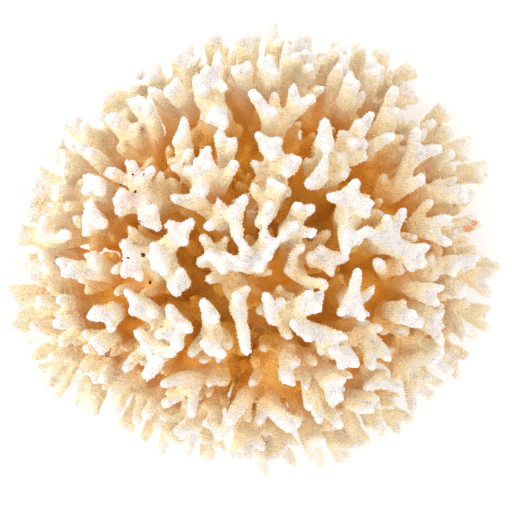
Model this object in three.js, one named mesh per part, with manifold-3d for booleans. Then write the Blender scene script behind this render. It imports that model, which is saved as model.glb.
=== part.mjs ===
// A dried colony of branching coral: one skeleton that spreads from a small holdfast into a dome of
// forked branches. Millimetres, +Z up. The holdfast is cut off flat at z = 0, with the origin under
// the middle of the colony, +X to its right and +Y to its far side as seen from above.
import * as THREE from 'three';
import { mergeGeometries, mergeVertices } from 'three/addons/utils/BufferGeometryUtils.js';
import { ConvexGeometry } from 'three/addons/geometries/ConvexGeometry.js';
import Module from 'manifold-3d';

const wasm = await Module();
wasm.setup();

// The dome that the outermost fingertips reach, from its rim up to its crown.
const CROWN_HALF_WIDTH = 110;
const CROWN_HALF_DEPTH = 102;
const RIM_HEIGHT = 42;
const CROWN_RISE = 72;
const CROWN_REACH = 100;

// The heart is the point that every limb comes from, inside the holdfast. The holdfast is a broad
// lump, cut flat underneath, that the lowest branches have grown together into.
const HEART = new THREE.Vector3(-4, -18, 16);
const LIMB_START = 10;
const HOLDFAST_HALF_WIDTH = 46;
const HOLDFAST_HALF_HEIGHT = 28;
const HOLDFAST_MIDDLE_HEIGHT = 20;
const HOLDFAST_SECTORS = 16;
const HOLDFAST_LEVELS = 10;
const CUTTER_SIZE = 200;

// Near the heart a fork's height comes from its depth, and far out from the way to its fingertips.
const LEAN_DISTANCES = [15, 45];
const LEAST_RISE = 0.3;

// Thickness of the branches. Each is as thick as what it carries asks for, up to the thickest: the
// power is between that of equal sections, 2, and that of equal volumes, 3.
const FINGER_RADIUS = 2.65;
const FINGERTIP_RADIUS = 2.1;
const FINGERTIP_ROUNDING = 2.2;
const THICKEST_RADIUS = 9.0;
const CARRIED_POWER = 2.5;

// A branch is four-sided, with corners a little past its radius to keep its true thickness.
const SIDES = 4;
const CORNER_REACH = 1.15;
const MOST_FUSED = 0.4;
const WEB_SHARE = 0.25;
const LEAST_ANGLE = 0.1;
const NEARLY_UPRIGHT = 0.9;

// Clear space between two pieces of the skeleton, where one is parted from the next.
const JOINT_GAP = 0.3;
const JOINT_DISTANCE = 22;
const LEAST_OVERLAP = 0.001;
const WELD_DISTANCE = 0.001;
const WELD_PASSES = 3;

// What each limb carries, read off the colony from above.
// A fingertip is [x, y, drop], where drop is how far it hangs under the dome.
// A fork is [x, y, depth, ...what grows from it], where depth is how far it lies in from the dome
// towards the heart. The first thing that grows from a fork carries the line of the branch on.
const LIMBS = {
  north: {
    fork: [-4, 26, 58],
    branches: [
      [-14, 48, 36,
        [-17, 59, 22,
          [-17, 70, 13, [-15.8, 87, 0], [-12.4, 69.6, 0]],
          [-23, 67, 13, [-20.7, 81, 0], [-27.2, 75.3, 2], [-22.4, 69, -2]],
          [-16, 57, 12, [-21.8, 54.5, 0], [-11.8, 51.5, 0]]],
        [-12, 66, 28,
          [-17, 83, 16, [-16.5, 96, 4], [-20.5, 94.3, 3], [-22.2, 93.2, 10]],
          [-9.5, 87.8, 11], [-13, 84, 26]]],
      [0, 50, 38,
        [-4, 65, 24,
          [-5, 74, 12, [-2.5, 82.5, 0], [-10.3, 79.5, 0]],
          [-3, 83, 16, [-2, 96.5, 6], [-8.6, 94.3, 8], [2.3, 95.7, 8]]],
        [6, 66, 22,
          [6.5, 75, 12, [6.3, 85.8, 0], [3, 82.5, 2], [9.4, 76.3, 0]],
          [8, 87, 17, [7.6, 102.6, 0], [11.9, 92, 8]]]],
      [9, 45, 34,
        [13, 62, 26,
          [16, 78, 16, [19.8, 97, 2], [14.2, 90.6, 5], [17.6, 84.8, 1]],
          [22, 76, 20, [23.6, 96, 9], [22, 87.4, 3], [25.6, 86.2, 8], [28.6, 81.5, 15], [23.8, 79, 3]]],
        [7, 50, 20,
          [6, 57, 11, [-2.4, 69.5, 0], [8.8, 59.6, -1]],
          [17, 60, 11, [16.8, 72, 0], [26.2, 65.8, 0]]]],
    ],
  },
  crown: {
    fork: [-9, 8, 60],
    branches: [
      [-21, 24, 32,
        [-30, 34, 24, [-31, 46, 13, [-30.7, 57.6, -1], [-36.5, 45.5, 9]], [-28, 43, 5]],
        [-15, 27, 20, [-12.5, 37, 12, [-15.8, 50.3, -1], [-9, 48.2, 0]], [-20.3, 37.3, -2], [-8, 37.5, -2]],
        [-23, 29, 18, [-20, 45.2, 0], [-25.5, 39.5, 0], [-22.2, 22.7, 0]]],
      [-14, 12, 22,
        [-24, 18.5, 9, [-36.8, 22.2, 1], [-26.4, 25.8, 0]],
        [-9, 14, 9, [-3.6, 22.9, 0], [-6.5, 1.3, 1]],
        [-20.8, 8.8, 1]],
      [7, 24, 34,
        [10, 36, 22,
          [14, 35, 11, [20.5, 39.2, 0], [13.5, 31, 0], [16.6, 41.3, 5]],
          [7, 42, 12, [11.3, 48.5, 1], [7.5, 38.6, -1], [1.8, 42, 6], [-0.5, 51, 4]]],
        [6, 16, 18, [8, 23, 9, [6.8, 30, 0], [12.5, 26.8, 1]], [6.6, 18.6, -1], [4, 10.3, 0], [0.5, 8.5, 6]]],
    ],
  },
  heart: {
    fork: [1, -12, 62],
    branches: [
      [0, -5, 28,
        [-3, -6, 12, [-4.7, 1.8, -1], [-7.3, -7.3, 0], [3.8, -9.8, 0], [-10.3, -9.2, 4]],
        [4, 0, 12, [9.8, 2, 0], [4, 7.3, 1], [6, -5.5, 2]]],
      [-9, -16, 30,
        [-7, -27, 14, [-3.2, -47.2, 0], [-8, -19.3, 0]],
        [-16, -4, 20,
          [-14, -6, 8, [-9, -3.3, 0], [-17.8, -6, 0], [-13.5, -11.7, 0]], [-20.4, -2.4, 1],
          [-24, 6, 6]]],
      [10, -29, 26,
        [19, -26, 9, [25, -18.2, 0], [29.4, -26, 0], [29.8, -20, 4]],
        [8, -32, 10, [4, -18.3, 0]],
        [11.5, -22, 4]],
      [16, 0, 36,
        [14, 8, 16, [17, 13, 8, [18.8, 19.8, 0], [26, 18, 1]], [26.5, 6, 0], [18, 9.5, -2], [12, 4.5, 1]],
        [18, -12, 26, [23.7, -15, 12], [13.5, -8.3, 13]],
        [30, -5, 24, [36, -2.5, 12], [34.5, -13, 13], [28, 1, 10]]],
    ],
  },
  north_east: {
    fork: [24, 24, 54],
    branches: [
      [30, 34, 32,
        [30, 46, 14, [30.4, 57.8, 0], [31.1, 41.5, -2]],
        [27, 28, 16, [31, 39.2, 0], [21.5, 27.5, 1]],
        [41, 44, 20, [44.5, 50, 10, [45.2, 55.8, 0], [52.2, 59.8, 0]], [43.4, 46, -2]]],
      [27, 50, 38,
        [31, 73, 22, [36.9, 93, 9], [36.4, 89.3, 2], [40.4, 89.8, 9]],
        [33, 62, 20, [34.5, 71, 11, [37, 80.8, 1], [40.8, 85.8, 5]]],
        [21, 56, 34, [21, 72, 24], [26, 66, 30]]],
      [37, 50, 34,
        [40, 66, 14, [41.8, 77.3, 0], [45.3, 72.8, 1]],
        [43, 70, 26, [45.5, 82, 15, [45.3, 93.3, 8], [48, 89, 2]]],
        [47, 64, 26,
          [50, 74, 14, [52.5, 85.8, 1], [53.2, 78, 0], [57.7, 80.4, 3]],
          [54, 79, 20, [55, 90, 9], [57.8, 88.6, 4], [61, 89, 10]]]],
    ],
  },
  east_north: {
    fork: [45, 22, 52],
    branches: [
      [49, 36, 34,
        [50, 44, 13, [61.3, 49.8, 1]],
        [55, 52, 18, [62, 72, 0], [63.3, 61.3, 3], [67.2, 60.4, 8]],
        [55, 58, 32,
          [63, 66, 18, [69.9, 74.7, 4], [71, 70.3, 9], [73.2, 65.6, 13]],
          [61, 74, 20, [70, 83.7, 6], [73.8, 79, 9]]]],
      [62, 24, 28, [69, 40, 10, [70.8, 53.8, 0], [83, 44.2, 2]], [73.8, 31.2, 0]],
      [66, 36, 36,
        [74, 47, 26,
          [79, 56, 13, [83, 64.5, 2], [85.3, 60.6, 4], [89, 60.2, 9]],
          [81, 48, 18, [89.9, 53.5, 12], [87.5, 54.2, 8]]],
        [78, 38, 24, [87, 43, 15, [97.8, 50, 7], [97, 45, 11], [94.8, 39.3, 14]], [87, 41.8, 3]],
        [68, 52, 26, [72.5, 57.3, 15]],
        [76, 31, 36, [90, 36, 26]]],
    ],
  },
  east: {
    fork: [41, 4, 52],
    branches: [
      [40, 14, 28,
        [40, 21, 11, [44.5, 30.3, 0], [30.5, 22.5, 2], [52, 18.8, 0], [50, 13.3, 2]],
        [39.5, 6, 11, [39.4, -4.5, 0], [46.8, 2, 0]]],
      [57, 3, 24, [57, 14.7, 0], [45.8, 8, 0], [66, -2, 8, [76.7, 1, 0], [75.3, -8.2, 2], [68.5, -10.7, 2]],
        [65.5, 18.3, 3]],
      [62, 17, 38,
        [72, 23, 20, [84, 29, 10, [97, 30.5, 3]], [86, 23.5, 8, [94.6, 27, 1], [94.5, 20.5, 1]]],
        [80, 28, 28, [96, 34, 15, [105.2, 39.2, 6], [105.3, 32.2, 9], [102.3, 29, 14]], [95, 19.3, 12]],
        [76, 15, 36, [92, 17, 26], [88, 24, 30]]],
      [66, 5, 38,
        [72, 9, 16, [86.8, 13.5, 0], [86.3, 1, 2]],
        [86, 9, 22, [99.5, 14, 5], [100.8, 10, 6]],
        [88, 0, 24, [98, 4, 13, [107.8, 7.2, 5], [108.6, 0.3, 6]], [105.8, -4.2, 9], [96, 2, 30]]],
    ],
  },
  south_east: {
    fork: [36, -17, 52],
    branches: [
      [42, -24, 20, [44.8, -8, 0], [35.7, -29.7, 1], [47.7, -32, 1]],
      [58, -13, 36,
        [70, -19, 14, [83, -17, 1], [81.2, -25, 6]],
        [76, -9, 18, [86, -7, 8, [99.6, -4, 1], [86.5, -12.9, 3]]],
        [82, -14, 30,
          [94, -12, 14, [107.8, -11, 4], [106, -21.8, 7]],
          [97, -5, 18, [111.2, -9.5, 8]],
          [88, -18, 18, [94, -21, 10], [89.5, -22.8, 8]]],
        [52.5, -5.5, 4]],
      [56, -25, 36,
        [60, -28, 18, [67, -31, 8, [74.3, -34.8, 0], [69, -26.8, 1]]],
        [72, -27, 22, [83, -43, 2], [81.2, -31, 8]],
        [82, -29, 30,
          [94, -28, 16, [107.2, -27, 4], [106.3, -38.3, 7], [103.8, -30.5, 11]],
          [90, -34, 18, [100, -40.3, 10], [92.5, -40.8, 4]]],
        [70, -38, 30, [84, -44, 14, [96.6, -49.3, 4], [91.7, -60, 6]], [90, -46, 30]]],
    ],
  },
  south_south_east: {
    fork: [26, -40, 50],
    branches: [
      [33, -42, 28,
        [31, -38.5, 12, [40.5, -38.5, 0], [20, -34, 8, [15.5, -32.6, 1], [24.6, -41.3, 5]]],
        [40, -47, 14, [46, -53, 2], [31, -44, 2], [35.8, -52.7, 3]],
        [48, -38, 16, [53, -42, 8, [59.2, -49.8, 1]], [51.3, -53.8, 3]]],
      [56, -44, 34,
        [66, -51, 12,
          [69, -59, 8, [80.7, -67.5, 2], [69.5, -74, 1]],
          [76, -47.5, 7, [83, -45.8, 0], [88.3, -55.7, 2]]],
        [70, -54, 28, [84.5, -61.5, 14], [78, -58, 8]],
        [62, -40, 38, [76, -45, 26], [74, -38, 32]]],
      [40, -56, 34,
        [38, -62, 22, [43, -69, 11, [53, -71.3, 1]], [42, -77, 20, [45.5, -90.8, 7], [51.2, -88, 9]]],
        [48, -64, 28,
          [58, -72, 15, [64.7, -83.5, 5], [72, -77.6, 9]],
          [52, -74, 16, [58.5, -84.6, 8], [55.2, -81.7, 8]]],
        [54, -58, 30, [66, -62.7, 16], [47.3, -61.8, 12]]],
    ],
  },
  south_lower: {
    fork: [7, -44, 54],
    branches: [
      [13, -44, 24,
        [25, -52, 10,
          [33, -58, 8, [34, -69.8, 2], [39, -57.8, 1], [38, -67.8, 1]],
          [24, -62, 10, [29, -77.3, 3], [23.3, -71, 4]]],
        [14.3, -58.3, 3]],
      [17, -62, 38,
        [30, -70, 26,
          [34, -84, 16, [43, -95.5, 5], [38.8, -97.3, 7], [42, -88.8, 11]],
          [33, -73, 12, [38.5, -79, 0]]],
        [22, -77, 22, [25, -85, 12, [26.2, -97.3, 6], [29.8, -84.7, -1], [30, -98.5, 10]]]],
      [3, -60, 36,
        [9, -73, 14, [16.5, -80.5, 0], [20.5, -77.5, 5]],
        [10, -83, 20, [18.2, -99.2, 3], [9.5, -94.5, 10]],
        [0, -74, 24,
          [2, -88, 14, [4.6, -103.7, 0], [7.8, -94.2, 10]],
          [-6, -85, 13, [-1.8, -95.2, 2], [-10.3, -93.3, 4], [-5.7, -94.3, 3]]],
        [-4, -64, 14, [-12.2, -77.5, 2], [-14.8, -82.6, 3]],
        [-9, -62, 36, [-11, -80, 26], [-5, -76, 30]]],
    ],
  },
  south_west: {
    fork: [-15, -42, 54],
    branches: [
      [-19, -37, 22,
        [-19, -43, 9, [-12.5, -47.3, -1], [-24.5, -40, 3]],
        [-19, -29, 9, [-23, -22.3, 1], [-16, -31, 0]]],
      [-19, -58, 36,
        [-26, -55, 20, [-41.3, -59.7, 1], [-27.8, -74.5, 1]],
        [-18, -68, 22, [-15.6, -85.3, 0], [-26, -76, 12, [-35.8, -81.7, 2], [-31, -94, 4]]],
        [-20, -80, 24, [-24, -96.8, 4], [-20.3, -96, 8], [-14, -90.8, 9]]],
      [-36, -56, 38,
        [-37, -72, 20, [-38, -80, 12, [-43.3, -94.3, 2], [-35, -86.8, 12]], [-40.8, -74.5, 18]],
        [-43, -66, 22, [-45, -76, 12, [-51.3, -88.3, 3]], [-48.4, -74.3, 1]],
        [-50, -66, 24, [-53, -72, 13, [-61.7, -81, 3], [-57, -82.8, 6]], [-52.3, -78.3, 6]]],
    ],
  },
  west_south: {
    fork: [-32.2, -32.1, 52],
    branches: [
      [-38, -34, 30,
        [-34, -32, 12,
          [-37.8, -24.3, 0], [-34.5, -37, 6, [-32.3, -44.3, 0], [-44, -37.5, 1]], [-27, -36.5, 5]],
        [-46, -27, 16, [-54, -21.7, 0], [-55, -27.5, 1], [-43.5, -29.3, 0], [-57.3, -18, 4]],
        [-45, -42, 18, [-51, -46, 9, [-57.5, -54.3, 1]], [-43, -51, 9, [-49.7, -57.3, 0], [-41.3, -47.5, 0]],
          [-52.3, -35.5, 1], [-34.6, -46.5, 3]]],
      [-52, -48, 38,
        [-56, -56, 22,
          [-61, -61, 10, [-64.5, -66.5, 1]],
          [-61, -67, 14, [-67.8, -74.3, 5], [-63, -75.2, 3], [-59.2, -72.8, 9]]],
        [-62, -50, 24,
          [-67, -58.3, 2], [-70, -63, 14, [-79.2, -73.8, 4], [-76, -74.5, 3], [-71.5, -75.4, 8]],
          [-81.7, -71.3, 11]]],
      [-60, -38, 38,
        [-65, -40, 20, [-72.8, -40.8, 2], [-68.3, -47.3, 1]],
        [-70, -48, 24, [-76, -56, 13, [-79.5, -66, 4], [-81, -62.8, 9]]],
        [-76, -47, 26,
          [-82, -56, 13, [-90.5, -68.5, 2]], [-89, -54, 16, [-94.7, -63.4, 4], [-99.5, -53, 4]],
          [-92.4, -48.3, 9]]],
    ],
  },
  west: {
    fork: [-42, -13, 50],
    branches: [
      [-59, -26, 38,
        [-62, -29, 16, [-68, -28.5, 8, [-74, -31, 0], [-69, -26, 1]], [-62.5, -37.2, 1]],
        [-76, -33, 24,
          [-92, -36, 14, [-104.9, -43.3, 5], [-99.5, -34, 3]],
          [-82, -32.5, 10, [-89.3, -33.6, 0]],
          [-92, -46, 22, [-101.9, -49.7, 9], [-99, -45, 14]]],
        [-78, -25, 24,
          [-97, -30, 14, [-110.9, -35.8, 6], [-109.2, -31.3, 4], [-106.3, -38.4, 9]],
          [-85.8, -22.2, 1], [-96.3, -22.6, 3], [-108, -26, 9]]],
      [-58, -13, 38,
        [-72.3, -17.2, 22,
          [-88, -11, 12, [-109.3, -7, 1], [-101.8, -13.7, 3], [-94.3, -1.5, 3]],
          [-90, -19, 18, [-112.2, -18.4, 3], [-109.5, -22.3, 7]]],
        [-68, -9, 20, [-76, -10, 9, [-85.5, -11.4, 0], [-81, -8, 1], [-87.6, -5, 3]], [-70, -4, 2]],
        [-92, -8, 30, [-103, -3, 14]],
        [-76, -3, 36, [-97, -2, 26], [-89, 2, 32]]],
      [-42, -4, 30,
        [-53, -4, 16, [-57.5, -13.5, 0], [-49.3, -15.3, 1], [-57.5, 4.8, 2]],
        [-41, -4, 10, [-45, 3.2, 0], [-44, -10.2, 1], [-38.5, -12.2, 0]],
        [-33, -14, 14, [-34, -20.8, 0], [-37.8, -17, 0], [-31.5, -9.3, 1], [-28.2, -16.7, 5]],
        [-33, 6, 14, [-37.7, 12, 0], [-29.2, 0.8, 0], [-26, 12.5, 2]]],
    ],
  },
  north_west: {
    fork: [-34, 16, 52],
    branches: [
      [-47, 20, 30,
        [-51, 27, 12, [-43.5, 35.2, 0], [-54.4, 38.5, 2], [-59, 30.5, 6, [-65, 34.5, 1]]],
        [-55, 19, 14, [-62.3, 21.3, 1], [-59, 26.5, 2], [-60.5, 14.2, 2]],
        [-46, 13, 12, [-50.8, 11, 0], [-42.6, 19.5, 0], [-40.5, 7, 1]]],
      [-45, 40, 36,
        [-55, 50, 14, [-59, 54, 8, [-66, 58.3, 0], [-63, 59.2, 1]], [-70.6, 59.4, 8]],
        [-44, 53, 14, [-51.2, 66.8, 0], [-46.5, 64, 0], [-56, 65.7, 3]],
        [-54, 56, 28,
          [-64, 62, 16, [-69.9, 68.5, 5], [-72, 65.8, 7], [-66, 67, 1]],
          [-59, 66, 16, [-62.2, 73.2, 4], [-66.7, 70.6, 10], [-58.2, 72.8, 7]],
          [-53, 69, 15, [-52, 78.4, 5], [-57.4, 76.7, 8], [-51, 73, 2]]],
        [-58, 46, 36, [-69, 52, 24], [-66, 44, 30]]],
      [-32, 48, 38,
        [-37, 60, 24,
          [-44, 73, 12, [-47.2, 83.5, 4], [-51, 81.7, 6], [-42.6, 81.8, 7], [-47.7, 73, 1]],
          [-41, 65, 11, [-47.2, 70, 1]]],
        [-30, 62, 26,
          [-34.5, 67, 11, [-34, 75.3, 1], [-40, 69.3, 0], [-37.1, 70.8, 0]],
          [-31, 78, 16, [-32.5, 89.8, 7], [-38, 85, 6], [-28.5, 91.3, 4], [-23.5, 84.6, 10]]]],
    ],
  },
  west_north: {
    fork: [-50, 6, 48],
    branches: [
      [-62, 32, 36,
        [-68, 38, 14, [-73.5, 43.3, 0], [-79.5, 46.2, 3]],
        [-71, 47, 20, [-75.4, 54.8, 0], [-80, 54, 12, [-82, 59, 5], [-78.8, 59.4, 7], [-85.5, 52.8, 6]]],
        [-78, 36, 22,
          [-84.4, 36.5, 0], [-85.6, 42.8, 2],
          [-88, 42.5, 14, [-91, 49.2, 6], [-84.8, 48.4, 8], [-95.2, 43.7, 8]]]],
      [-65, 22, 34,
        [-69, 27, 14, [-68.6, 31.3, 0], [-66.3, 22.4, 1], [-75.4, 33, 1], [-76.3, 23.2, 2]],
        [-82, 26, 24, [-87.2, 25, 1],
          [-92, 30, 15, [-97, 37.4, 6], [-99.8, 31.8, 6]],
          [-92, 24, 14, [-102.9, 26.4, 5], [-101.4, 20.7, 6]]]],
      [-66, 9, 36,
        [-71, 13, 14, [-72, 21.8, 0], [-64, 9.5, 2], [-74, 4, 3]],
        [-84, 12, 22,
          [-94, 12, 1], [-94.5, 8, 3],
          [-96, 15, 14, [-104.7, 15.5, 6], [-100.4, 19.9, 8], [-102, 11.6, 9]]],
        [-88, 4, 24,
          [-98, 5.5, 13, [-109, 7.2, 3], [-107.2, 1.6, 5], [-106.5, 10.4, 7]], [-81.5, 6.2, 4],
          [-92, 0, 26]]],
    ],
  },
};

const skeleton = new THREE.MeshStandardMaterial({ color: 0xe9cf9f, roughness: 0.85, metalness: 0 });

// Height of the dome over a place, in mm above the flat cut.
function crownHeight(x, y) {
  const reach = (x / CROWN_HALF_WIDTH) ** 2 + (y / CROWN_HALF_DEPTH) ** 2;
  return RIM_HEIGHT + CROWN_RISE * Math.sqrt(Math.max(0, 1 - reach));
}

// Height of a fork, from how deep it lies under the dome.
function heightAtDepth(x, y, depth) {
  const scale = 1 - depth / CROWN_REACH;
  const above = crownHeight(HEART.x + (x - HEART.x) / scale, HEART.y + (y - HEART.y) / scale);
  return HEART.z + scale * (above - HEART.z);
}

// Height of a fork on the straight way from the heart to something that grows from it.
function heightOnTheWay(x, y, end) {
  const near = Math.hypot(x - HEART.x, y - HEART.y);
  const far = Math.hypot(end.x - HEART.x, end.y - HEART.y);
  const onLine = HEART.z + (end.z - HEART.z) * Math.min(1, near / far);
  const leastRise = LEAST_RISE * Math.hypot(end.x - x, end.y - y);
  return Math.min(onLine, end.z - leastRise);
}

// Turns one entry of the table into points in space, with the thickness of the branch at each.
function grow([x, y, amount, ...entries]) {
  if (entries.length === 0) {
    const height = crownHeight(x, y) - amount;
    return { point: new THREE.Vector3(x, y, height), radius: FINGER_RADIUS, tips: 1, children: [] };
  }
  const children = entries.map(grow);
  const tips = children.reduce((sum, child) => sum + child.tips, 0);
  const heights = children.map((child) => child.tips * heightOnTheWay(x, y, child.point));
  const outward = heights.reduce((sum, height) => sum + height) / tips;
  const lean = THREE.MathUtils.smoothstep(Math.hypot(x - HEART.x, y - HEART.y), ...LEAN_DISTANCES);
  const height = THREE.MathUtils.lerp(heightAtDepth(x, y, amount), outward, lean);
  const carried = children.reduce((sum, child) => sum + child.radius ** CARRIED_POWER, 0);
  const radius = Math.min(THICKEST_RADIUS, carried ** (1 / CARRIED_POWER));
  return { point: new THREE.Vector3(x, y, height), radius, tips, children };
}

// The direction from one point to another.
function directionTo(from, to) {
  return to.clone().sub(from).normalize();
}

// A point on the way from one point to another.
function pointToward(from, to, distance) {
  return from.clone().addScaledVector(directionTo(from, to), distance);
}

function middleOf(points) {
  return points.reduce((sum, point) => sum.add(point), new THREE.Vector3()).divideScalar(points.length);
}

// A ring of corners around a center, counter-clockwise about the way ahead.
function ringOfCorners(center, ahead, side, firstAngle, reach) {
  const up = ahead.clone().cross(side);
  return Array.from({ length: SIDES }, (unused, index) => {
    const angle = firstAngle + (index * 2 * Math.PI) / SIDES;
    const offset = side.clone().multiplyScalar(Math.cos(angle)).addScaledVector(up, Math.sin(angle));
    return center.clone().addScaledVector(offset, reach);
  });
}

// The part of a direction that is square to the way ahead.
function squareTo(ahead, direction) {
  return direction.clone().addScaledVector(ahead, -direction.dot(ahead)).normalize();
}

function firstRing(center, ahead, reach) {
  const away = Math.abs(ahead.z) > NEARLY_UPRIGHT ? new THREE.Vector3(1, 0, 0) : new THREE.Vector3(0, 0, 1);
  return ringOfCorners(center, ahead, squareTo(ahead, away), 0, reach);
}

// A ring that lines up with the one before it, so that the walls between them aren't twisted.
function ringAfter(previous, center, ahead, reach) {
  const middle = middleOf(previous);
  const side = squareTo(ahead, previous[0].clone().sub(middle));
  const up = ahead.clone().cross(side);
  const turn = new THREE.Vector2();
  previous.forEach((corner, index) => {
    const offset = corner.clone().sub(middle);
    const angle = Math.atan2(offset.dot(up), offset.dot(side)) - (index * 2 * Math.PI) / SIDES;
    turn.add(new THREE.Vector2(Math.cos(angle), Math.sin(angle)));
  });
  return ringOfCorners(center, ahead, side, turn.angle(), reach);
}

function moveCorners(geometry, points) {
  points.forEach((point, index) => geometry.getAttribute('position').setXYZ(index, ...point));
  return geometry;
}

// The walls from one ring to the next are those of an open cylinder, moved onto the rings.
function walls(ring, next) {
  const geometry = new THREE.CylinderGeometry(1, 1, 1, SIDES, 1, true);
  return moveCorners(geometry, [...next, next[0], ...ring, ring[0]]);
}

// The blunt point that closes a fingertip.
function fingertip(ring, apex) {
  const geometry = new THREE.ConeGeometry(1, 1, SIDES, 1, true);
  return moveCorners(geometry, [...Array(SIDES + 1).fill(apex), ...ring, ring[0]]);
}

// A flat end that faces the way the ring turns about.
function flatEnd([first, second, third, fourth]) {
  return moveCorners(new THREE.PlaneGeometry(), [second, first, third, fourth]);
}

function toSolid(geometry) {
  geometry.deleteAttribute('normal');
  geometry.deleteAttribute('uv');
  const merged = mergeVertices(geometry, WELD_DISTANCE);
  const vertProperties = new Float32Array(merged.getAttribute('position').array);
  const triVerts = new Uint32Array(merged.index.array);
  return new wasm.Manifold(new wasm.Mesh({ numProp: 3, vertProperties, triVerts }));
}

// A closed stretch of a branch between two rings, or from a ring out to a fingertip.
function stretchSolid(ring, end, next) {
  return toSolid(mergeGeometries([flatEnd([...ring].reverse()), walls(ring, next), end]));
}

// How far along each thing that grows from a fork it is clear of the others. A stub is web to its end.
function clearDistance(fork, child, others) {
  if (child.cut) return fork.distanceTo(child.point);
  const way = directionTo(fork, child.point);
  const distances = others.map((other) => {
    const angle = way.angleTo(directionTo(fork, other.point));
    return (CORNER_REACH * (child.radius + other.radius)) / (2 * Math.sin(Math.max(angle, LEAST_ANGLE) / 2));
  });
  const most = MOST_FUSED * fork.distanceTo(child.point);
  return Math.min(most, Math.max(child.radius, ...distances));
}

// Everything from a ring on: the stretch to the next point, its fork's web, and what grows there.
function solidsBeyond(ring, from, node, swell) {
  if (node.cut) return [];
  const reachOf = (radius) => radius * CORNER_REACH + swell;
  const way = directionTo(from, node.point);
  const length = from.distanceTo(node.point);
  if (node.children.length === 0) {
    const center = pointToward(node.point, from, Math.min(FINGERTIP_ROUNDING, length / 2));
    const last = ringAfter(ring, center, way, reachOf(FINGERTIP_RADIUS));
    return [stretchSolid(ring, fingertip(last, node.point.clone().addScaledVector(way, swell)), last)];
  }
  const center = pointToward(node.point, from, Math.min(node.radius, WEB_SHARE * length));
  const incoming = ringAfter(ring, center, way, reachOf(node.radius));
  const outgoing = node.children.map((child) => {
    const others = node.children.filter((other) => other !== child);
    const distance = clearDistance(node.point, child, others);
    const start = pointToward(node.point, child.point, distance);
    const onward = directionTo(node.point, child.point);
    const childRing = ringAfter(incoming, start, onward, reachOf(child.radius));
    return { child, start, childRing };
  });
  const web = new ConvexGeometry([...incoming, ...outgoing.flatMap(({ childRing }) => childRing)]);
  return [
    stretchSolid(ring, flatEnd(incoming), incoming),
    toSolid(web),
    ...outgoing.flatMap(({ child, start, childRing }) => solidsBeyond(childRing, start, child, swell)),
  ];
}

// A stem with everything that grows from it.
function stemSolid(start, node, swell) {
  const ring = firstRing(start, directionTo(start, node.point), node.radius * CORNER_REACH + swell);
  return solidsBeyond(ring, start, node, swell).reduce((whole, solid) => whole.add(solid));
}

function branchSolid(limbFork, branch, swell) {
  return stemSolid(pointToward(limbFork, branch.point, JOINT_DISTANCE + JOINT_GAP), branch, swell);
}

// A limb runs from the holdfast to its fork, and a short way on towards each of its branches.
function limbSolid(limb, swell) {
  const stubs = limb.children.map((branch) => {
    const point = pointToward(limb.point, branch.point, JOINT_DISTANCE);
    return { point, radius: branch.radius, children: [], cut: true };
  });
  return stemSolid(pointToward(HEART, limb.point, LIMB_START), { ...limb, children: stubs }, swell);
}

// The holdfast is a rounded lump with a flat cut underneath.
function baseSolid(swell) {
  const lump = new THREE.SphereGeometry(1, HOLDFAST_SECTORS, HOLDFAST_LEVELS).rotateX(Math.PI / 2);
  const halfWidth = HOLDFAST_HALF_WIDTH + swell;
  lump.scale(halfWidth, halfWidth, HOLDFAST_HALF_HEIGHT + swell);
  lump.translate(HEART.x, HEART.y, HOLDFAST_MIDDLE_HEIGHT);
  const cutter = new THREE.BoxGeometry(CUTTER_SIZE, CUTTER_SIZE, CUTTER_SIZE);
  cutter.translate(HEART.x, HEART.y, -CUTTER_SIZE / 2);
  return toSolid(lump).subtract(toSolid(cutter));
}

const limbs = Object.entries(LIMBS).map(([name, { fork, branches }]) => {
  const limb = grow([...fork, ...branches]);
  return { name, ...limb };
});
const pieces = [{ name: 'base', build: baseSolid }];
for (const limb of limbs) {
  pieces.push({ name: `limb_${limb.name}`, build: (swell) => limbSolid(limb, swell) });
}
for (const limb of limbs) {
  limb.children.forEach((branch, index) => {
    const name = `branch_${limb.name}_${index + 1}`;
    pieces.push({ name, build: (swell) => branchSolid(limb.point, branch, swell) });
  });
}

function toGeometry(solid) {
  const { vertProperties, triVerts } = solid.getMesh();
  const geometry = new THREE.BufferGeometry();
  geometry.setAttribute('position', new THREE.BufferAttribute(vertProperties, 3));
  return geometry.setIndex(new THREE.BufferAttribute(triVerts, 1));
}

function largestBody(solid) {
  return solid.decompose().reduce((largest, body) => (body.volume() > largest.volume() ? body : largest));
}

// Each piece keeps clear of the ones before it. Where that parts a piece in two, its main body stays.
const colony = new THREE.Group();
const neighbours = [];
for (const { name, build } of pieces) {
  const whole = build(0);
  const inTheWay = neighbours.filter((neighbour) => whole.intersect(neighbour).volume() > LEAST_OVERLAP);
  const body = largestBody(inTheWay.reduce((solid, neighbour) => solid.subtract(neighbour), whole));
  neighbours.push(build(JOINT_GAP).add(body));
  // Welding points that all but meet can part a sliver from the body again.
  let welded = body;
  for (let pass = 0; pass < WELD_PASSES; pass += 1) welded = largestBody(toSolid(toGeometry(welded)));
  const mesh = new THREE.Mesh(toGeometry(welded), skeleton);
  mesh.name = name;
  colony.add(mesh);
}

// The origin lies on the flat cut, under the middle of the colony.
const middle = new THREE.Box3().setFromObject(colony).getCenter(new THREE.Vector3());
colony.position.set(-middle.x, -middle.y, 0);

export default colony;
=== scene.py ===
"""A dried colony of branching coral, seen from straight above on a pale table."""

import bmesh
import bpy
import numpy as np
from mathutils import Euler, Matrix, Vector, noise
from mathutils.bvhtree import BVHTree
from mathutils.kdtree import KDTree


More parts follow.
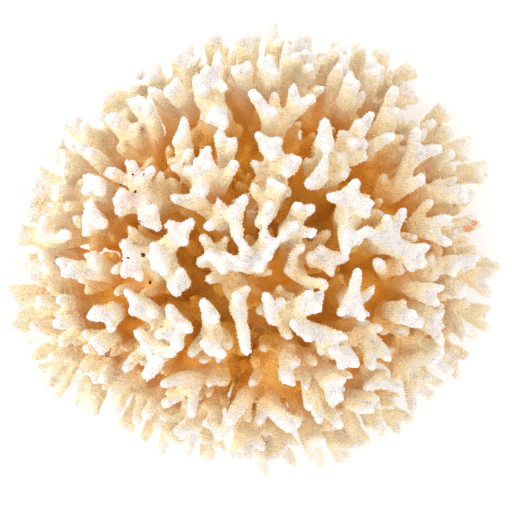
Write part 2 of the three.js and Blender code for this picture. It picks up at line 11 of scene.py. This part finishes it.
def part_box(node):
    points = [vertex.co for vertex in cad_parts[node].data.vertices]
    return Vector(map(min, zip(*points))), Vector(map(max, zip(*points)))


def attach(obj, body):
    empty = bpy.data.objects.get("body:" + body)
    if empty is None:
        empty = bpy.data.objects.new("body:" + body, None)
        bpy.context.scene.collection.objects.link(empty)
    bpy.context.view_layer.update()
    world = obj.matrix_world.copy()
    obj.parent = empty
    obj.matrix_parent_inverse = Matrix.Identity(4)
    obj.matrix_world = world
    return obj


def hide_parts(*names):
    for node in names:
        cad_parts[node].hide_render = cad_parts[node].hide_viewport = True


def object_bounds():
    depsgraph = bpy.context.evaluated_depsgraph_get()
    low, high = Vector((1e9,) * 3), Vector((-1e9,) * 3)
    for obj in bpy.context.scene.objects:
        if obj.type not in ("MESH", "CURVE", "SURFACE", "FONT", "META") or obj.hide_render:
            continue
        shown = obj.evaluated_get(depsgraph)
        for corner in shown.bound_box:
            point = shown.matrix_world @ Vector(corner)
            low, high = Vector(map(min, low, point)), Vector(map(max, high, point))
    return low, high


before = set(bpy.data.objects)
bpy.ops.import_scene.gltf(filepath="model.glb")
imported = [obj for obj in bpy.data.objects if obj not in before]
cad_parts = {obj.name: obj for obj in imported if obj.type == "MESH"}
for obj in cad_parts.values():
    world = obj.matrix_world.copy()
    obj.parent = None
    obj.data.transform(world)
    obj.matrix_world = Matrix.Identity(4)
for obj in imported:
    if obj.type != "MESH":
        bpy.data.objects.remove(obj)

cad_low, cad_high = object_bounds()
MM = 0.001
scene = bpy.context.scene


# The camera looks straight down on the colony from far off, so that its fingers keep their places
# from the rim up to the crown.
CAMERA_HEIGHT = 2.2
CAMERA_SIGHT = 20
RIM_HEIGHT = 45 * MM
VIEW_WIDTH = 227.6 * MM
VIEW_CENTER = (0.94 * MM, -3.01 * MM)

camera_data = bpy.data.cameras.new("camera")
camera_data.lens = camera_data.sensor_width * (CAMERA_HEIGHT - RIM_HEIGHT) / VIEW_WIDTH
camera_data.clip_end = CAMERA_SIGHT
camera = bpy.data.objects.new("camera", camera_data)
camera.location = (*VIEW_CENTER, CAMERA_HEIGHT)
scene.collection.objects.link(camera)
scene.camera = camera


# The holdfast, the limbs and the branches are one skeleton in the real colony, which grew outwards
# from its heart. Their solids are taken as they are, and swollen a little, so that each meets its
# neighbours across the narrow gap between them.
SWELLING = 0.25 * MM
WELD_DISTANCE = 0.001 * MM
HEART_HEIGHT = 16 * MM
base_low, base_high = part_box("base")
HEART = Vector(((base_low[0] + base_high[0]) / 2, (base_low[1] + base_high[1]) / 2, HEART_HEIGHT))


def solid_surface(solid):
    """A solid's points, the same points swollen, and its triangles."""
    work = bmesh.new()
    work.from_mesh(solid.data)
    bmesh.ops.transform(work, matrix=solid.matrix_world, verts=work.verts)
    bmesh.ops.remove_doubles(work, verts=work.verts, dist=WELD_DISTANCE)
    bmesh.ops.triangulate(work, faces=work.faces)
    work.normal_update()
    places = np.array([vertex.co[:] for vertex in work.verts])
    normals = np.array([vertex.normal[:] for vertex in work.verts])
    faces = np.array([[vertex.index for vertex in face.verts] for face in work.faces])
    work.free()
    return places, places + normals * SWELLING, faces


def limb_of(node_name):
    """The limb that a node belongs to, or the base."""
    if node_name == "base":
        return "base"
    words = node_name.split("_")
    return "_".join(words[1:-1] if words[0] == "branch" else words[1:])


def joined(surfaces):
    """Several surfaces as one: all their points, and their triangles numbered through."""
    offsets = np.cumsum([0] + [len(places) for places, _ in surfaces])
    all_places = np.concatenate([places for places, _ in surfaces])
    all_faces = [faces + offset for (_, faces), offset in zip(surfaces, offsets)]
    return all_places, np.concatenate(all_faces)


node_names = list(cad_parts)
limb_names = list(dict.fromkeys(limb_of(name) for name in node_names))
solids = [solid_surface(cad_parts[name]) for name in node_names]
plain_solids = [(plain, faces) for plain, _, faces in solids]
swollen_solids = [(swollen, faces) for _, swollen, faces in solids]
solid_limbs = [limb_names.index(limb_of(name)) for name in node_names]
triangle_limbs = np.repeat(solid_limbs, [len(faces) for _, faces in plain_solids])
plain_places, plain_triangles = joined(plain_solids)
plain_tree = BVHTree.FromPolygons(plain_places.tolist(), plain_triangles.tolist())

# The outermost fingertips lie on a dome, taken as the tightest convex skin round all the solids.
dome = bmesh.new()
for place in plain_places:
    dome.verts.new(place)
hull = bmesh.ops.convex_hull(dome, input=dome.verts)
inside = set(hull["geom_interior"]) | set(hull["geom_unused"])
bmesh.ops.delete(dome, geom=[vertex for vertex in dome.verts if vertex in inside], context="VERTS")
dome_tree = BVHTree.FromBMesh(dome)
dome.free()


def below_dome(place):
    """How far a place lies inside the dome of fingertips, on the way out from the heart."""
    outward = (place - HEART).normalized()
    hit = dome_tree.ray_cast(HEART, outward)[3]
    return hit - (place - HEART).length


# Twigs: between the long fingers the real colony is crowded with short ones, which never reach the
# dome. Each grows out of a wall where there is room for it, bent towards the light.
TWIG_RADII = (2.8 * MM, 2.5 * MM, 2.15 * MM)
TWIG_ROOT = 2 * MM
TWIG_ROOT_POINT = 3 * MM
TWIG_MIDDLE = 0.5
TWIG_BEND = 0.9 * MM
TWIG_SIDES = 7
LEAST_DEPTH = 4 * MM
LOWEST_TIP = 22 * MM


def twig_surface(root, way, length, bend):
    """A tapered finger of a few rings with a blunt tip, as points and triangles."""
    side = way.orthogonal().normalized()
    up = way.cross(side)
    rings = (
        (-TWIG_ROOT, TWIG_RADII[0], 0),
        (length * TWIG_MIDDLE, TWIG_RADII[1], 1),
        (length - TWIG_RADII[2], TWIG_RADII[2], 0),
    )
    places = [root - way * TWIG_ROOT_POINT]
    for distance, radius, bent in rings:
        for step in range(TWIG_SIDES):
            angle = 2 * np.pi * step / TWIG_SIDES
            offset = (side * np.cos(angle) + up * np.sin(angle)) * radius
            places.append(root + way * distance + bend * bent + offset)
    places.append(root + way * length)
    faces = []
    for step in range(TWIG_SIDES):
        here, beyond = 1 + step, 1 + (step + 1) % TWIG_SIDES
        faces.append((0, beyond, here))
        for ring in range(len(rings) - 1):
            low, high = ring * TWIG_SIDES, (ring + 1) * TWIG_SIDES
            faces.append((here + low, beyond + low, beyond + high))
            faces.append((here + low, beyond + high, here + high))
        last = (len(rings) - 1) * TWIG_SIDES
        faces.append((here + last, beyond + last, len(places) - 1))
    return np.array([place[:] for place in places]), np.array(faces)


chance = np.random.default_rng(11)
twigs = []
twig_limbs = []
taken = []


def grow_twig(root, way, length, limb, room, spacing):
    """Adds a twig, where it has room to the walls and to the twigs before it."""
    tip = root + way * length
    middle = root + way * length / 2
    if below_dome(tip) < LEAST_DEPTH or tip.z < LOWEST_TIP or plain_tree.find_nearest(tip)[3] < room:
        return
    if taken and np.linalg.norm(np.array(taken) - np.array(tip), axis=1).min() < spacing:
        return
    taken.extend([tip[:], middle[:]])
    twigs.append(twig_surface(root, way, length, Vector(chance.normal(0, TWIG_BEND, 3))))
    twig_limbs.append(limb)


# Where a gap between two limbs would show the table far inside the rim, a low twig crosses under it.
GAP_GRID = 2.5 * MM
GAP_REACH = 0.78
GAP_HEIGHT = 0.42
GAP_LEAN = 0.6
GAP_OVERSHOOT = 3 * MM
GAP_ROOM = 0.3 * MM
GAP_SPACING = 3 * MM
SKY_HEIGHT = 1.0
DOWN = Vector((0, 0, -1))
half_size = np.array(cad_high - cad_low)[:2] / 2
for x in np.arange(cad_low[0], cad_high[0], GAP_GRID):
    for y in np.arange(cad_low[1], cad_high[1], GAP_GRID):
        share = ((x / half_size[0]) ** 2 + (y / half_size[1]) ** 2) ** 0.5
        if share > GAP_REACH or plain_tree.ray_cast(Vector((x, y, SKY_HEIGHT)), DOWN)[0]:
            continue
        under = Vector((x, y, cad_high[2] * GAP_HEIGHT * (1 - share * share) ** 0.5 + LOWEST_TIP))
        root, _, triangle, gap = plain_tree.find_nearest(under)
        outward = (under - HEART).normalized()
        way = ((under - root).normalized() + outward * GAP_LEAN).normalized()
        grow_twig(root, way, gap + GAP_OVERSHOOT, triangle_limbs[triangle], GAP_ROOM, GAP_SPACING)

# The other twigs stand anywhere on the walls that face outwards.
TWIG_TRIES = 9000
MOST_TWIGS = 560
TWIG_LENGTHS = (7 * MM, 19 * MM)
TWIG_LEANS = (0.15, 0.65)
TWIG_ROOM = 3.7 * MM
TWIG_SPACING = 5.6 * MM
TWIG_CLEARANCE = 1 * MM
LEAST_FACING = -0.1
corners = plain_places[plain_triangles]
triangle_normals = np.cross(corners[:, 1] - corners[:, 0], corners[:, 2] - corners[:, 0])
areas = np.linalg.norm(triangle_normals, axis=1)
triangle_normals /= areas[:, None]
for triangle in chance.choice(len(areas), TWIG_TRIES, p=areas / areas.sum()):
    root = Vector(chance.dirichlet((1, 1, 1)) @ corners[triangle])
    length = chance.uniform(*TWIG_LENGTHS)
    lean = chance.uniform(*TWIG_LEANS)
    normal = Vector(triangle_normals[triangle])
    outward = (root - HEART).normalized()
    if len(twigs) >= MOST_TWIGS or normal.dot(outward) < LEAST_FACING:
        continue
    way = (normal * lean + outward).normalized()
    if plain_tree.ray_cast(root + normal * TWIG_CLEARANCE, way, length)[0] is None:
        grow_twig(root, way, length, triangle_limbs[triangle], TWIG_ROOM, TWIG_SPACING)


# The skin: all the solids and twigs are wrapped in one fine mesh of square patches, which closes the
# narrow gaps between them. Each patch is to carry one grain. The real grains are about 1.1 mm apart,
# and these are a little coarser, so that the colony stays under a million triangles.
GRAIN = 1.27 * MM
# The patches are turned out of line with the upright fingers, where their rows would show.
TURN = Euler((0.45, 0.6, 0.35)).to_matrix()

skin_places, skin_triangles = joined(swollen_solids + twigs)
skin_limbs = np.concatenate([triangle_limbs, np.repeat(twig_limbs, [len(faces) for _, faces in twigs])])
turn = np.array(TURN)
skin_data = bpy.data.meshes.new("skin")
skin_data.from_pydata((skin_places @ turn.T).tolist(), [], skin_triangles.tolist())
skin = bpy.data.objects.new("skin", skin_data)
scene.collection.objects.link(skin)
wrap = skin.modifiers.new("wrap", "REMESH")
wrap.mode = "VOXEL"
wrap.voxel_size = GRAIN
wrapped = bpy.data.meshes.new_from_object(skin.evaluated_get(bpy.context.evaluated_depsgraph_get()))
bpy.data.objects.remove(skin)
points = np.empty(len(wrapped.vertices) * 3)
wrapped.vertices.foreach_get("co", points)
points = points.reshape(-1, 3) @ turn
quads = np.empty(len(wrapped.loops), dtype=np.int64)
wrapped.loops.foreach_get("vertex_index", quads)
quads = quads.reshape(-1, 4)
quad_edges = np.concatenate([quads[:, [i, (i + 1) % 4]] for i in range(4)])
edges = np.unique(np.sort(quad_edges, axis=1), axis=0)
neighbour_count = np.bincount(edges.ravel(), minlength=len(points))[:, None]

# It is smoothed until the fingers are round. Then it stands out again to nearly their full
# thickness, which the smoothing took from them.
SMOOTHING_ROUNDS = 4
SMOOTHING = 0.6
SPREADING_ROUNDS = 6
SLIMMING = 0.3 * MM
TINY = 1e-12


def neighbour_mean(values):
    """The mean of each point's neighbours along the mesh's edges."""
    total = np.zeros_like(values)
    for axis in range(values.shape[1]):
        total[:, axis] += np.bincount(edges[:, 0], values[edges[:, 1], axis], len(values))
        total[:, axis] += np.bincount(edges[:, 1], values[edges[:, 0], axis], len(values))
    return total / neighbour_count


def smoothed(values, rounds):
    """The values of the points, each drawn towards its neighbours' a few times."""
    for _ in range(rounds):
        values = values + SMOOTHING * (neighbour_mean(values) - values)
    return values


def unit(vectors):
    """The vectors with a length of 1."""
    return vectors / np.maximum(np.linalg.norm(vectors, axis=1, keepdims=True), TINY)


def quad_normals(places):
    """The way out of the skin at each patch, with its points at these places."""
    a, b, c, d = (places[quads[:, i]] for i in range(4))
    return unit(np.cross(c - a, d - b))


def point_normals(places):
    """The way out of the skin at each point."""
    faces = quad_normals(places)
    total = np.zeros_like(places)
    for corner in range(4):
        for axis in range(3):
            total[:, axis] += np.bincount(quads[:, corner], faces[:, axis], len(places))
    return unit(total)


def across(vectors, ways):
    """What is left of the vectors without their part along these ways."""
    return vectors - ways * np.einsum("ij,ij->i", vectors, ways)[:, None]


before = points
points = smoothed(points, SMOOTHING_ROUNDS)
normals = point_normals(points)
lost = np.einsum("ij,ij->i", before - points, normals)[:, None]
points = points + normals * (smoothed(lost, SPREADING_ROUNDS) - SLIMMING)

# The fingers aren't quite round: they swell and pinch a little along their length. The old holdfast
# is knobbly: dead and overgrown stubs stand out of it.
LUMP_SPACING = 6 * MM
LUMP_HEIGHT = 0.6 * MM
KNOB_SPACING = 11 * MM
KNOB_HEIGHT = 5.5 * MM
KNOB_REACH = (46 * MM, 62 * MM)
FINER_KNOBS = 0.5


def noise_at(spacing):
    """A smooth noise at each point of the skin, with lumps about this far apart."""
    return np.array([noise.noise(Vector(place) / spacing) for place in points])[:, None]


normals = point_normals(points)
heart_distance = np.linalg.norm(points - np.array(HEART), axis=1)[:, None]
near_heart = np.clip((KNOB_REACH[1] - heart_distance) / (KNOB_REACH[1] - KNOB_REACH[0]), 0, 1)
knobs = noise_at(KNOB_SPACING) + FINER_KNOBS * noise_at(KNOB_SPACING / 2)
points = points + normals * (noise_at(LUMP_SPACING) * LUMP_HEIGHT + near_heart * knobs * KNOB_HEIGHT)


# Fingertips: in the real colony each is one smooth cup that leads the growth. They are the places
# that lie further from the heart than everything round them. A finger tapers a little towards its tip.
TIP_REACH_ROUNDS = 4
TIP_LENGTH = 9 * MM
LEAST_TIP_HEIGHT = 22 * MM
TIP_TAPER = 0.35 * MM
TAPER_POWER = 1.5
heart_distance = np.linalg.norm(points - np.array(HEART), axis=1)
furthest = heart_distance.copy()
for _ in range(TIP_REACH_ROUNDS):
    further = furthest.copy()
    np.maximum.at(further, edges[:, 0], furthest[edges[:, 1]])
    np.maximum.at(further, edges[:, 1], furthest[edges[:, 0]])
    furthest = further
tips = np.flatnonzero((heart_distance >= furthest) & (points[:, 2] > LEAST_TIP_HEIGHT))
tip_tree = KDTree(len(tips))
for order, tip in enumerate(tips):
    tip_tree.insert(points[tip], order)
tip_tree.balance()
tipness = np.clip(1 - np.array([tip_tree.find(place)[2] for place in points]) / TIP_LENGTH, 0, 1)

sideways = across(point_normals(points), unit(points - np.array(HEART)))
points = points - sideways * TIP_TAPER * tipness[:, None] ** TAPER_POWER
depth = np.array([below_dome(Vector(place)) for place in points])


# Light has bleached the open places of the real colony, and the hidden walls keep their golden colour. The
# colour laid by openness also paints light and shade: painted light whitens the open places, and painted
# shade turns the hidden walls golden. How open a place is: the share of the directions it faces that lead
# out of the colony.
CELL = 2 * MM
SIGHT = 44 * MM
WAYS = 40
LOWEST_WAY = -0.35
GOLDEN_ANGLE = np.pi * (3 - 5**0.5)
FIRST_CELLS = 1.5
LEAST_WAY_FACING = 0.1
LEAST_FACED = 1e-6
OPENNESS_ROUNDS = 3
first_corner = points.min(axis=0) - 2 * CELL
cell_counts = ((points.max(axis=0) - first_corner) / CELL).astype(int) + 3


def cells_at(places):
    """The cells of a coarse grid round the colony that hold these places."""
    return np.clip(((places - first_corner) / CELL).astype(int), 0, cell_counts - 1)


filled = np.zeros(cell_counts, dtype=bool)
filled[tuple(cells_at(points).T)] = True
normals = point_normals(points)
seen = np.zeros(len(points))
faced = np.full(len(points), LEAST_FACED)
for order in range(WAYS):
    rise = 1 - (1 - LOWEST_WAY) * (order + 0.5) / WAYS
    flat = (1 - rise * rise) ** 0.5
    angle = order * GOLDEN_ANGLE
    way = np.array([flat * np.cos(angle), flat * np.sin(angle), rise])
    facing = np.maximum(normals @ way, 0)
    faced += facing
    clear = np.flatnonzero(facing > LEAST_WAY_FACING)
    for reach in np.arange(CELL, SIGHT, CELL):
        start = points[clear] + normals[clear] * FIRST_CELLS * CELL
        clear = clear[~filled[tuple(cells_at(start + way * reach).T)]]
    seen[clear] += facing[clear]
openness = smoothed((seen / faced)[:, None], OPENNESS_ROUNDS)[:, 0]


# The grains: on the real colony every one is a small cup that leans towards the fingertip. Here a
# low pyramid stands on each patch of the skin, lower on the smooth tips and on the hidden walls.
GRAIN_HEIGHTS = (0.5 * MM, 1.1 * MM)
GRAIN_LEAN = 0.6
GRAIN_SHIFT = 0.16 * MM
SMOOTH_TIP = 0.45
SMOOTH_TIP_FROM = 0.55
SMOOTH_TIP_SPAN = 0.3
SMOOTH_WALL = 0.4
ROUGH_OPENNESS = 0.2
shuffle = np.random.default_rng(7)
points = points + shuffle.normal(0, GRAIN_SHIFT, points.shape)

# The cut underneath is flat, and has no grains.
CUT_HEIGHT = 1.2 * MM
points[:, 2] = np.where(points[:, 2] < CUT_HEIGHT, 0, points[:, 2])

quad_centers = points[quads].mean(axis=1)
faces_out = quad_normals(points)
along = across(unit(quad_centers - np.array(HEART)), faces_out)
quad_tipness = tipness[quads].mean(axis=1)
quad_openness = openness[quads].mean(axis=1)
heights = shuffle.uniform(*GRAIN_HEIGHTS, len(quads))
on_tip = np.clip((quad_tipness - SMOOTH_TIP_FROM) / SMOOTH_TIP_SPAN, 0, 1)
heights *= 1 - (1 - SMOOTH_TIP) * on_tip
heights *= SMOOTH_WALL + (1 - SMOOTH_WALL) * np.clip(quad_openness / ROUGH_OPENNESS, 0, 1)
heights[quad_centers[:, 2] < CUT_HEIGHT] = 0
peaks = quad_centers + heights[:, None] * (faces_out + GRAIN_LEAN * along)

# The skin is parted where the limbs part, and each part stands for a limb and its branches.
parting_places, _ = joined(plain_solids + twigs)
parting_tree = BVHTree.FromPolygons(parting_places.tolist(), skin_triangles.tolist())
nearest = np.array([parting_tree.find_nearest(center)[2] for center in quad_centers])
quad_limbs = skin_limbs[nearest]


def limb_piece(name, chosen):
    """The part of the skin on the chosen patches, with its grains, closed where it was parted."""
    used, rims = np.unique(quads[chosen], return_inverse=True)
    rims = rims.reshape(-1, 4)
    count = len(used)
    tops = count + np.arange(len(chosen))
    sides = np.concatenate([np.stack([rims[:, i], rims[:, (i + 1) % 4], tops], axis=1) for i in range(4)])
    data = bpy.data.meshes.new(name)
    data.from_pydata(np.concatenate([points[used], peaks[chosen]]).tolist(), [], sides.tolist())
    layers = {
        "tipness": np.concatenate([tipness[used], quad_tipness[chosen]]),
        "openness": np.concatenate([openness[used], quad_openness[chosen]]),
        "depth": np.concatenate([depth[used], depth[quads[chosen]].mean(axis=1)]),
        "grain": np.concatenate([np.zeros(count), np.ones(len(chosen))]),
    }
    for layer, values in layers.items():
        data.attributes.new(layer, "FLOAT", "POINT").data.foreach_set("value", values.astype(np.float32))
    work = bmesh.new()
    work.from_mesh(data)
    parted = [edge for edge in work.edges if edge.is_boundary]
    caps = bmesh.ops.holes_fill(work, edges=parted, sides=0)["faces"]
    bmesh.ops.triangulate(work, faces=[face for face in caps if len(face.verts) > 3])
    work.to_mesh(data)
    work.free()
    return bpy.data.objects.new(name, data)


# Aragonite: the mineral that the coral laid down. To the eye it is dull and finely rough, and lets a little
# light in. It is white where it is open to the sky, and golden in the depth. This is partly the bleaching
# of the real colony, and partly painted light on the open places and painted shade in the depth.
def linear(hex_color):
    """An sRGB hex value as linear RGBA."""
    channels = [int(hex_color[i : i + 2], 16) / 255 for i in (1, 3, 5)]
    return (*[c / 12.92 if c <= 0.04045 else ((c + 0.055) / 1.055) ** 2.4 for c in channels], 1)


def add_node(material, kind, inputs, output=0, **settings):
    """Adds a node with its settings, sets or links its inputs, and gives one of its outputs."""
    node = material.node_tree.nodes.new(kind)
    for name, value in settings.items():
        setattr(node, name, value)
    for name, value in inputs.items():
        if isinstance(value, bpy.types.NodeSocket):
            material.node_tree.links.new(value, node.inputs[name])
        else:
            node.inputs[name].default_value = value
    return node.outputs[output] if node.outputs else None


# Where the coral has its colours: how open, how deep, how high and how far from the heart. Openness, depth
# and height also lay painted light and painted shade into the colour.
MOTTLING_SIZE = 9 * MM
MOTTLING_SHARE = 0.16
SPECKLE_SIZE = 1.4 * MM
TIP_WHITENESS = 0.3
LOW_WHITENESS = 0.5
LIT_HEIGHTS = (22 * MM, 66 * MM)
aragonite = bpy.data.materials.new("aragonite")
aragonite.use_nodes = True
aragonite.node_tree.nodes.clear()
place = add_node(aragonite, "ShaderNodeTexCoord", {}, "Object")
height = add_node(aragonite, "ShaderNodeSeparateXYZ", {0: place}, "Z")
from_heart = add_node(
    aragonite, "ShaderNodeVectorMath", {0: place, 1: HEART[:]}, "Value", operation="DISTANCE"
)
mottling, speckle = [
    add_node(aragonite, "ShaderNodeTexNoise", {"Vector": place, "Scale": 1 / size, "Detail": detail})
    for size, detail in ((MOTTLING_SIZE, 3), (SPECKLE_SIZE, 2))
]
layer_tipness, layer_openness, layer_depth, layer_grain = [
    add_node(aragonite, "ShaderNodeAttribute", {}, "Fac", attribute_name=layer)
    for layer in ("tipness", "openness", "depth", "grain")
]
mottled = add_node(aragonite, "ShaderNodeMath", {0: mottling, 1: 0.5}, operation="SUBTRACT")
mottled = add_node(aragonite, "ShaderNodeMath", {0: mottled, 1: MOTTLING_SHARE}, operation="MULTIPLY")
# Openness, with a little random mottling, lays painted light on open places and painted shade on hidden
# ones.
open_here = add_node(aragonite, "ShaderNodeMath", {0: layer_openness, 1: mottled}, operation="ADD")
on_tip = add_node(
    aragonite, "ShaderNodeMath", {0: layer_tipness, 1: TIP_WHITENESS}, operation="MULTIPLY"
)
# The whiteness: painted light where a place is open, and the real white of the young fingertips.
lit_and_bleached = add_node(aragonite, "ShaderNodeMath", {0: open_here, 1: on_tip}, operation="ADD")
# Painted top light: the white is full high up and weaker low down, where less light falls.
painted_top_light = add_node(
    aragonite,
    "ShaderNodeMapRange",
    {
        "Value": height,
        "From Min": LIT_HEIGHTS[0],
        "From Max": LIT_HEIGHTS[1],
        "To Min": LOW_WHITENESS,
        "To Max": 1.0,
    },
)

# Each share rises smoothly from 0 to 1 between two values, or falls where the first is the higher.
# The golden and deep shares paint warm shade in the depth, the wall and hidden shares paint shade in the
# hollows, and the white share paints light on open places.
SHARES = {
    "golden": (layer_depth, 8 * MM, 42 * MM),
    "deep": (layer_depth, 16 * MM, 40 * MM),
    "wall": (open_here, 0.02, 0.22),
    "hidden": (open_here, 0.22, 0.0),
    "white": (lit_and_bleached, 0.42, 0.86),
    "old": (from_heart, 66 * MM, 50 * MM),
    "low": (height, 44 * MM, 30 * MM),
    "cup": (layer_grain, 0.0, 0.5),
    "crusty": (speckle, 0.4, 0.62),
}
shares = {
    name: add_node(
        aragonite,
        "ShaderNodeMapRange",
        {"Value": value, "From Min": none_at, "From Max": full_at},
        interpolation_type="SMOOTHSTEP",
    )
    for name, (value, none_at, full_at) in SHARES.items()
}

# What has lived in it since: a patch eaten by boring worms, with a pink crust and holes, and a rusty stain
# on one broken fingertip. The holes are not cut into the skin: dark red spots paint the shade in them. Each
# mark is round the highest surface at a place seen from above, given as x, y and radius in mm, and fades
# over its softness.
skin_tree = BVHTree.FromPolygons(points.tolist(), quads.tolist())
MARKS = {
    "crust": (0.5, [
        (-52, 27, 11), (-48, 13, 10), (-55, -10, 7), (-41, 8, 7), (2, -34, 6), (-2, -58, 6), (-16, 4, 5),
    ]),
    # Painted shade: dark red spots where the worms' holes are.
    "holes": (0.25, [
        (-59, 29, 0.9), (-47.5, 32.2, 0.8), (-44.5, 19.3, 0.8), (-38.5, 11, 0.8), (-48, -2.6, 1.1),
        (-54.5, -4, 0.7), (-45.5, -14.5, 0.8), (-52.5, 32.5, 0.6), (-51.5, 25, 0.7), (-49, 12, 0.6),
    ]),
    "stain": (0.45, [(94.5, 9, 2.2), (97, 11.5, 1.5)]),
}
marks = {}
for name, (softness, spots) in MARKS.items():
    for x, y, radius in spots:
        hit = skin_tree.ray_cast(Vector((x * MM, y * MM, SKY_HEIGHT)), DOWN)[0]
        spot = hit or Vector((x * MM, y * MM, RIM_HEIGHT))
        gap = add_node(
            aragonite, "ShaderNodeVectorMath", {0: place, 1: spot[:]}, "Value", operation="DISTANCE"
        )
        marked = add_node(
            aragonite,
            "ShaderNodeMapRange",
            {
                "Value": gap,
                "From Min": radius * (1 + softness) * MM,
                "From Max": radius * (1 - softness) * MM,
            },
            interpolation_type="SMOOTHSTEP",
        )
        if name in marks:
            marked = add_node(aragonite, "ShaderNodeMath", {0: marks[name], 1: marked}, operation="MAXIMUM")
        marks[name] = marked

# The strength of each colour is the product of two shares, or of a share and a number.
PRODUCTS = {
    "whiteness": (shares["white"], painted_top_light),
    "old_low": (shares["old"], shares["low"]),
    "age": ("old_low", 0.7),
    "crusted": (marks["crust"], shares["crusty"]),
    "crust": ("crusted", 0.42),
    "stain": (marks["stain"], 0.8),
    "deep_hidden": (shares["deep"], shares["hidden"]),
    "glow": ("deep_hidden", 0.024),
}
products = {}
for name, (first, second) in PRODUCTS.items():
    first = products.get(first, first) if isinstance(first, str) else first
    products[name] = add_node(aragonite, "ShaderNodeMath", {0: first, 1: second}, operation="MULTIPLY")

# The colours are laid one over the other: the pale rim and the golden depth of the hollows and of the
# walls, which is partly painted shade; the white, which is partly bleaching and partly painted light; the
# old holdfast; the painted shade at the foot of the cups; and the marks, whose dark red holes are painted
# shade.
# Partly the real colour and partly painted shade: hidden places get the hollow colour, and both colours
# turn golden in the depth.
wall, hollow = [
    add_node(
        aragonite,
        "ShaderNodeMix",
        {0: shares["golden"], 6: linear(at_rim), 7: linear(in_depth)},
        2,
        data_type="RGBA",
    )
    for at_rim, in_depth in (("#fcf1d6", "#ffca5c"), ("#fff4e0", "#fdbb48"))
]
# Painted shade: the foot of each grain is painted a little darker and warmer than its peak.
cup_shade = add_node(
    aragonite,
    "ShaderNodeMix",
    {0: shares["cup"], 6: linear("#f8efe2"), 7: linear("#ffffff")},
    2,
    data_type="RGBA",
)
# Painted light and bleaching: the white laid on open, high places.
LIT_AND_BLEACHED_WHITE = linear("#ebe8e8")
OLD_HOLDFAST = linear("#dfc596")
PINK_CRUST = linear("#e9b598")
# Painted shade inside the worms' holes.
PAINTED_HOLE_SHADE = linear("#6e2418")
RUST = linear("#efa765")
LAYERS = [
    (shares["wall"], wall, "MIX"),
    (products["whiteness"], LIT_AND_BLEACHED_WHITE, "MIX"),
    (products["age"], OLD_HOLDFAST, "MIX"),
    (1.0, cup_shade, "MULTIPLY"),
    (products["crust"], PINK_CRUST, "MIX"),
    (marks["holes"], PAINTED_HOLE_SHADE, "MIX"),
    (products["stain"], RUST, "MIX"),
]
color = hollow
for strength, over, blend in LAYERS:
    color = add_node(
        aragonite,
        "ShaderNodeMix",
        {0: strength, 6: color, 7: over},
        2,
        data_type="RGBA",
        blend_type=blend,
    )

# The refractive index is that of aragonite. Light comes through the thin fingers to the hidden walls
# between them, and a very weak yellow glow in the depth stands for it. It is too weak to be sampled
# as a lamp.
surface = add_node(
    aragonite,
    "ShaderNodeBsdfPrincipled",
    {
        "Base Color": color,
        "Emission Color": linear("#ffe25a"),
        "Emission Strength": products["glow"],
        "Roughness": 0.75,
        "IOR": 1.53,
        "Specular IOR Level": 0.25,
        "Subsurface Weight": 0.35,
        "Subsurface Radius": (1.0, 0.75, 0.35),
        "Subsurface Scale": 3.5 * MM,
    },
)
add_node(aragonite, "ShaderNodeOutputMaterial", {"Surface": surface})
aragonite.cycles.emission_sampling = "NONE"

for index, limb in enumerate(limb_names):
    piece = limb_piece(f"coral_{limb}", np.flatnonzero(quad_limbs == index))
    piece.data.materials.append(aragonite)
    scene.collection.objects.link(piece)
    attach(piece, "root")
    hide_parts(*[name for name in node_names if limb_of(name) == limb])


# The table is a pale, matt sheet of paper, laid flat, and so bright that it all but disappears
# round the colony.
SHEET_HALF = 4.0
SHEET_DROP = 0.2 * MM
sheet_data = bpy.data.meshes.new("table")
sheet_data.from_pydata(
    [
        (x * SHEET_HALF, y * SHEET_HALF, -SHEET_DROP)
        for x, y in ((-1, -1), (1, -1), (1, 1), (-1, 1))
    ],
    [],
    [(0, 1, 2, 3)],
)
sheet = bpy.data.objects.new("table", sheet_data)
scene.collection.objects.link(sheet)
paper = bpy.data.materials.new("white paper")
paper.use_nodes = True
paper.node_tree.nodes.clear()
paper_surface = add_node(
    paper,
    "ShaderNodeBsdfPrincipled",
    {
        "Base Color": linear("#f2f2f2"),
        "Roughness": 0.9,
        "Emission Color": linear("#ffffff"),
        "Emission Strength": 0.1,
    },
)
add_node(paper, "ShaderNodeOutputMaterial", {"Surface": paper_surface})
sheet_data.materials.append(paper)


# Soft studio light: a broad round box high on the left, a weaker one on the right, and an even white
# room. A box has a place and a width in metres, and a power in watts.
LIT_POINT = Vector((0, 0, 0.05))
ROOM_LIGHT = 1.14
SOFTBOXES = {
    "softbox_left": ((-1.3, 0.2, 0.9), 1.0, 11),
    "softbox_right": ((0.3, -0.3, 1.5), 0.9, 4),
}
for name, (location, width, power) in SOFTBOXES.items():
    lamp_data = bpy.data.lights.new(name, "AREA")
    lamp_data.shape = "DISK"
    lamp_data.size = width
    lamp_data.energy = power
    lamp = bpy.data.objects.new(name, lamp_data)
    lamp.location = location
    lamp.rotation_euler = (LIT_POINT - Vector(location)).to_track_quat("-Z", "Y").to_euler()
    scene.collection.objects.link(lamp)

room = bpy.data.worlds.new("room")
room.use_nodes = True
room.node_tree.nodes["Background"].inputs["Color"].default_value = (1, 1, 1, 1)
room.node_tree.nodes["Background"].inputs["Strength"].default_value = ROOM_LIGHT
scene.world = room
scene.view_settings.view_transform = "Standard"
